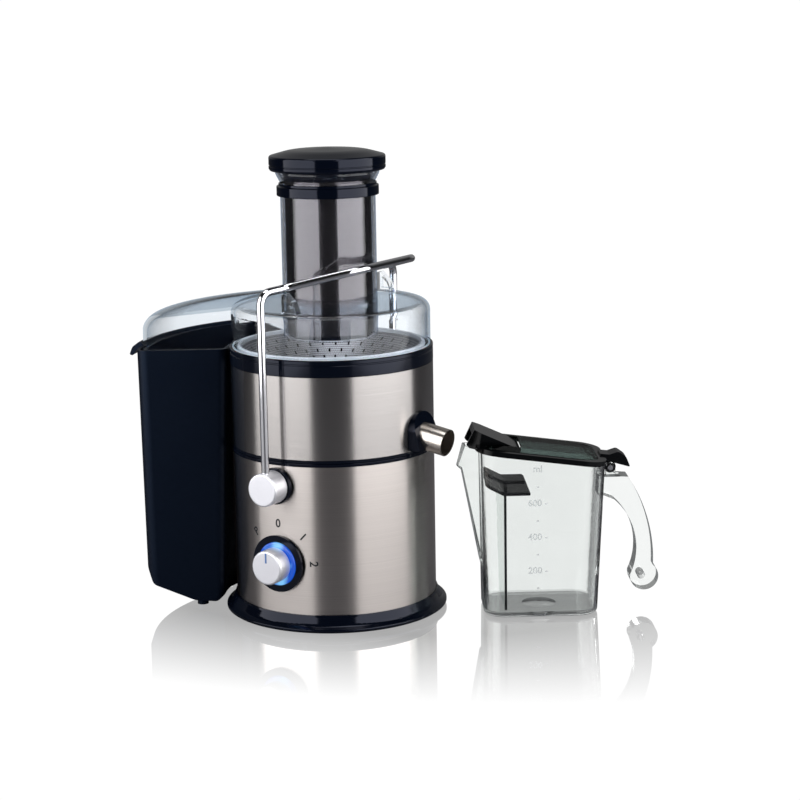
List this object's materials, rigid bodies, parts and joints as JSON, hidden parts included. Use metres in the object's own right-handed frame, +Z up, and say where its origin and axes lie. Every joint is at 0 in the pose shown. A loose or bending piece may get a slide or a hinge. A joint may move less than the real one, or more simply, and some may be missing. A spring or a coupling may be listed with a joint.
{
  "type": "centrifugal juicer",
  "caption": "Tall steel centrifugal juicer: clear lid and wide feed tube with pusher, locking handle, dial, spout, side pulp container and lidded jug.",
  "frame": {"origin": "on the floor under the motor and basket axis", "axes": "+Z up along the motor axis, +X along the juice spout, -Y towards the speed dial, -X towards the pulp container"},
  "size_m": [0.441, 0.2581, 0.4106],
  "materials": {
    "steel": "brushed",
    "gloss_black": "glossy",
    "satin_black": "satin",
    "clear_lid": "clear",
    "clear_tube": "clear",
    "clear_jug": "clear",
    "smoke_window": "smoky",
    "chrome": "polished",
    "satin_silver": "satin",
    "mesh_steel": "etched",
    "grater_steel": "stamped",
    "rim_white": "satin",
    "rubber": "matte",
    "silicone": "matte",
    "led_blue": "lit",
    "pointer_dark": "matte",
    "barrel_grey": "metallised",
    "black_tab": "glossy",
    "lamination": "bare",
    "copper": "enamelled",
    "brass": "bare",
    "carbon": "matte",
    "bearing_steel": "polished",
    "shaft_steel": "ground",
    "cast_bracket": "cast",
    "board_green": "satin",
    "switch_plastic": "satin",
    "fan_plastic": "satin",
    "hub_plastic": "satin",
    "screw_steel": "zinc"
  },
  "bodies": {
    "base": {"motor_housing": "satin_black", "housing_steel_sleeve": "steel", "base_ring": "gloss_black", "bottom_plate": "satin_black", "foot_ring": "rubber", "bottom_screws": "screw_steel", "deck_cover": "gloss_black", "cord_inlet": "rubber", "pivot_bosses": "gloss_black", "speed_switch": "switch_plastic", "switch_bezel": "gloss_black", "led_ring": "led_blue", "led_board": "board_green", "safety_switch": "switch_plastic", "control_board": "board_green", "motor_stator": "lamination", "field_windings": "copper", "lower_bearing": "bearing_steel", "upper_bearing": "bearing_steel", "lower_bracket": "cast_bracket", "upper_bracket": "cast_bracket", "carbon_brushes": "carbon", "brush_holders": "brass", "motor_mounts": "rubber", "shaft_seal": "rubber", "juice_collector": "gloss_black", "collector_steel_sleeve": "steel", "spout_hood": "gloss_black", "spout_tube": "steel", "lid": "clear_lid", "feed_tube": "clear_tube", "tube_trim_ring": "gloss_black", "lid_seal": "silicone"},
    "rotor": {"motor_shaft": "shaft_steel", "armature_core": "lamination", "commutator": "copper", "cooling_fan": "fan_plastic", "drive_coupling": "hub_plastic", "basket_hub": "hub_plastic", "grater_disc": "grater_steel", "filter_basket": "mesh_steel", "basket_rim": "rim_white"},
    "locking_handle": {"handle_rod": "chrome", "front_pivot_knob": "satin_silver", "rear_pivot_knob": "satin_silver", "pivot_pins": "shaft_steel"},
    "pusher": {"pusher_head": "gloss_black", "pusher_body": "barrel_grey", "pusher_tip": "gloss_black"},
    "pulp_bin": {"pulp_container": "satin_black"},
    "speed_dial": {"speed_knob": "satin_silver", "knob_pointer": "pointer_dark", "switch_spindle": "brass"},
    "jug": {"jug_body": "clear_jug", "jug_handle": "clear_jug", "jug_hinge_pin": "shaft_steel", "froth_separator": "black_tab"},
    "jug_cover": {"jug_lid": "black_tab", "jug_lid_window": "smoke_window"}
  },
  "joints": [
    {"name": "rotor_spin", "type": "hinge", "parent": "base", "child": "rotor", "pos_m": [0, 0, 0.2], "axis": [0, 0, 1], "continuous": true},
    {"name": "handle_swing", "type": "hinge", "parent": "base", "child": "locking_handle", "pos_m": [0, 0, 0.129], "axis": [0, 1, 0], "range_deg": [0, 60]},
    {"name": "pusher_lift", "type": "slide", "parent": "base", "child": "pusher", "axis": [0, 0, 1], "range_m": [0, 0.15]},
    {"name": "container_pull", "type": "slide", "parent": "base", "child": "pulp_bin", "axis": [-1, 0, 0], "range_m": [0, 0.12]},
    {"name": "dial_turn", "type": "hinge", "parent": "base", "child": "speed_dial", "pos_m": [0, -0.1, 0.06], "axis": [0, 1, 0], "range_deg": [-45, 90]},
    {"name": "jug_slide", "type": "slide", "parent": "base", "child": "jug", "axis": [0.8348, 0.5505, 0], "range_m": [0, 0.1]},
    {"name": "jug_lid_open", "type": "hinge", "parent": "jug", "child": "jug_cover", "pos_m": [0.2162, 0.11368, 0.1275], "axis": [-0.5505, 0.8348, 0], "range_deg": [0, 22]}
  ]
}
